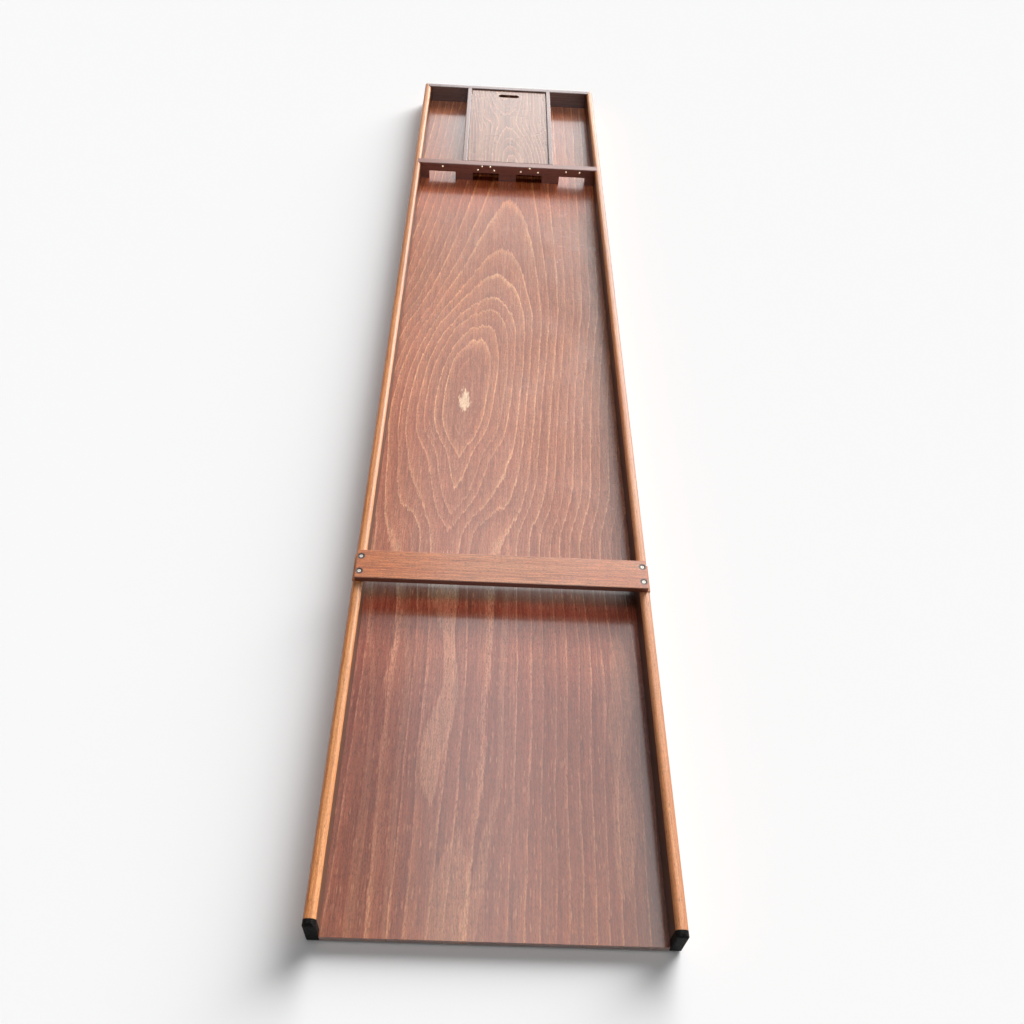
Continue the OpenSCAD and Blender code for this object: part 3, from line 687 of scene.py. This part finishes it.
barScrews = {  # cleaner heads with a painted dark rim of shade
    **screws, "clean": tone(222, 216, 208), "speck": tone(40, 30, 24), "specks": 0.5,
    # painted shade: dark rim round each head
    "rimShade": (197.5, (506.5, 532.5), (2.2, 2.9)),
}
barScrewSteel = dressHard("barScrewSteel", barScrews)
nails = {  # dulled wire
    "grain": 0.8, "eased": 0.0003, "clean": tone(110, 104, 98), "dull": tone(70, 60, 54), "cloud": 0.8,
    "speck": tone(48, 36, 30), "specks": 0.5,
    "bare": tone(170, 165, 160), "worn": 0.5,
    "metal": 1.0, "rough": 0.42, "roughSpread": 0.25, "relief": 0.12, "shine": 0.5,
}
nailSteel = dressHard("nailSteel", nails)
print("plastic and metal dressed")

finishes = [  # finish, the record's slot and the pieces that have it
    (floorWood, "floor_wood", ["floor_panel"]),
    (railWood, "rail_wood", ["left_rail"]),
    (rightRailWood, "rail_wood", ["right_rail"]),
    (crossBarWood, "cross_bar_wood", ["cross_bar"]),
    (gateWood, "gate_wood", ["gate_bar"]),
    (wallWood, "partition_wood", ["back_wall"]),
    (partitionWood, "partition_wood", ["left_partition", "right_partition", "center_partition"]),
    (partitionWood, "partition_wood", ["left_lid_ledge", "right_lid_ledge"]),
    (lidWood, "lid_wood", ["lid_panel"]),
    (battenWood, "batten_wood", ["front_batten", "middle_batten", "rear_batten"]),
    (capPlastic, "cap_plastic", ["left_end_cap", "right_end_cap"]),
    (pinBrass, "pin_brass", ["score_pins_one", "score_pins_two", "score_pins_three", "score_pins_four"]),
    (barScrewSteel, "screw_steel", ["cross_bar_screws"]),
    (screwSteel, "screw_steel", ["gate_bar_screws", "back_wall_screws", "floor_screws", "batten_screws"]),
    (nailSteel, "nail_steel", ["partition_nails", "ledge_nails"]),
]
for finish, slot, names in finishes:
    for name in names:
        piece = nodes[name]
        piece.data.materials.clear()
        piece.data.materials.append(finish)
print("finishes set:", sum(len(names) for finish, slot, names in finishes), "pieces")


# pale studio floor

studioFloor = {"size": 40.0, "colour": 0.88, "glow": 0.045}
bpy.ops.mesh.primitive_plane_add(size=studioFloor["size"], location=(0.0, 0.0, 0.0))
ground = bpy.context.object
ground.name = "studioFloor"
groundMat = bpy.data.materials.new("studioPaper")
groundMat.use_nodes = True
paper = groundMat.node_tree
paper.nodes.clear()
matt, glow, both = put(paper, "BsdfDiffuse"), put(paper, "Emission"), put(paper, "AddShader")
matt.inputs["Color"].default_value = (studioFloor["colour"],) * 3 + (1.0,)
seen = put(paper, "LightPath").outputs["Is Camera Ray"]
feed(paper, glow.inputs["Strength"], weigh(paper, seen, studioFloor["glow"]))
feed(paper, both.inputs[0], matt.outputs[0])
feed(paper, both.inputs[1], glow.outputs[0])
paper.links.new(both.outputs[0], put(paper, "OutputMaterial").inputs["Surface"])
ground.data.materials.append(groundMat)

# soft light all round, strongest from the right and behind; the lacquer mirrors a bright sky that dims to the left

studioLight = {
    "fill": 0.05, "key": 15.6, "keyFrom": (0.448, 0.819, 0.360), "keyEdge": (0.86, 0.99),
    "overhead": 4.4, "overheadEdge": (0.965, 0.997), "seen": 0.956,
    "mirrorFront": 0.9, "mirrorFrontEdge": (-0.4, 0.15),
    "mirrorSide": [(-1.0, 0.4), (-0.6, 0.4), (-0.35, 0.35), (-0.2, 0.24), (-0.14, 0.22), (-0.1, 0.42), (-0.075, 1.4),
                   (-0.04, 1.68), (0.0, 1.54), (0.04, 1.44), (0.08, 0.96), (0.13, 1.04), (0.2, 1.3), (0.35, 1.8),
                   (0.6, 1.8), (1.0, 1.4)],
    "mirrorHeight": [(0.0, 1.5), (0.45, 1.5), (0.485, 0.74), (0.53, 0.52), (0.62, 0.78), (0.72, 1.1), (0.8, 1.48),
                     (0.9, 1.68), (1.0, 1.68)],
    "mirrorSlant": 0.12, "slantFrom": 0.63, "lowSlant": 0.028, "lowSlantEdge": (0.47, 0.44),
    "dimRight": 0.5, "dimSide": (0.03, 0.1), "dimLow": (0.46, 0.5), "dimHigh": (0.78, 0.64),
}
world = bpy.data.worlds.new("studio")
bpy.context.scene.world = world
world.use_nodes = True
sky = world.node_tree
sky.nodes.clear()
heading = put(sky, "TexCoord").outputs["Generated"]
toRight, toBack, toTop = parts(sky, heading)
path = put(sky, "LightPath").outputs

# what lights the surfaces
keySpot = ramp(sky, vec(sky, "DOT_PRODUCT", heading, studioLight["keyFrom"]), *studioLight["keyEdge"])
soft = calc(sky, "MULTIPLY_ADD", keySpot, studioLight["key"], studioLight["fill"])
overhead = ramp(sky, toTop, *studioLight["overheadEdge"])
soft = calc(sky, "MULTIPLY_ADD", overhead, studioLight["overhead"], soft)

# what the lacquer mirrors, from left to right and from low to high
rise = calc(sky, "MAXIMUM", calc(sky, "SUBTRACT", toTop, studioLight["slantFrom"]), 0.0)
slant = weigh(sky, rise, studioLight["mirrorSlant"])
slant = calc(sky, "MULTIPLY_ADD", ramp(sky, toTop, *studioLight["lowSlantEdge"]), studioLight["lowSlant"], slant)
toSide = calc(sky, "MULTIPLY_ADD", calc(sky, "SUBTRACT", toRight, slant), 0.5, 0.5)  # from 0 to 1
mirror = curve(sky, toSide, [(x / 2 + 0.5, level) for x, level in studioLight["mirrorSide"]])
mirror = weigh(sky, mirror, ramp(sky, toBack, *studioLight["mirrorFrontEdge"], studioLight["mirrorFront"], 1.0))
mirror = weigh(sky, mirror, curve(sky, toTop, studioLight["mirrorHeight"]))
band = weigh(sky, ramp(sky, toTop, *studioLight["dimLow"]), ramp(sky, toTop, *studioLight["dimHigh"]))
dim = weigh(sky, weigh(sky, ramp(sky, toRight, *studioLight["dimSide"]), band), studioLight["dimRight"])
mirror = weigh(sky, mirror, calc(sky, "SUBTRACT", 1.0, dim))

level = blend(sky, path["Is Glossy Ray"], soft, mirror)
unlit = calc(sky, "MAXIMUM", path["Is Camera Ray"], path["Is Transmission Ray"])
level = blend(sky, unlit, level, studioLight["seen"])
backdrop = put(sky, "Background")
backdrop.inputs["Color"].default_value = (1.0, 1.0, 1.0, 1.0)
feed(sky, backdrop.inputs["Strength"], level)
sky.links.new(backdrop.outputs[0], put(sky, "OutputWorld").inputs["Surface"])

# camera set to the photo's frame, 1024 by 1024

cameraView = {
    "place": (-0.0412366, -1.3181638, 1.0812027), "turn": (0.7206419, -0.0447485, 0.015268),
    "sensor": 36.0, "lens": 32.6697172, "shift": (0.0149181, 0.0022475),
}
lens = bpy.data.cameras.new("photoView")
lens.sensor_width, lens.lens = cameraView["sensor"], cameraView["lens"]
lens.shift_x, lens.shift_y = cameraView["shift"]
camera = bpy.data.objects.new("photoView", lens)
camera.location, camera.rotation_euler = cameraView["place"], Euler(cameraView["turn"], "XYZ")
bpy.context.scene.collection.objects.link(camera)
bpy.context.scene.camera = camera
bpy.context.scene.view_settings.view_transform = "Standard"
print("studio ready")
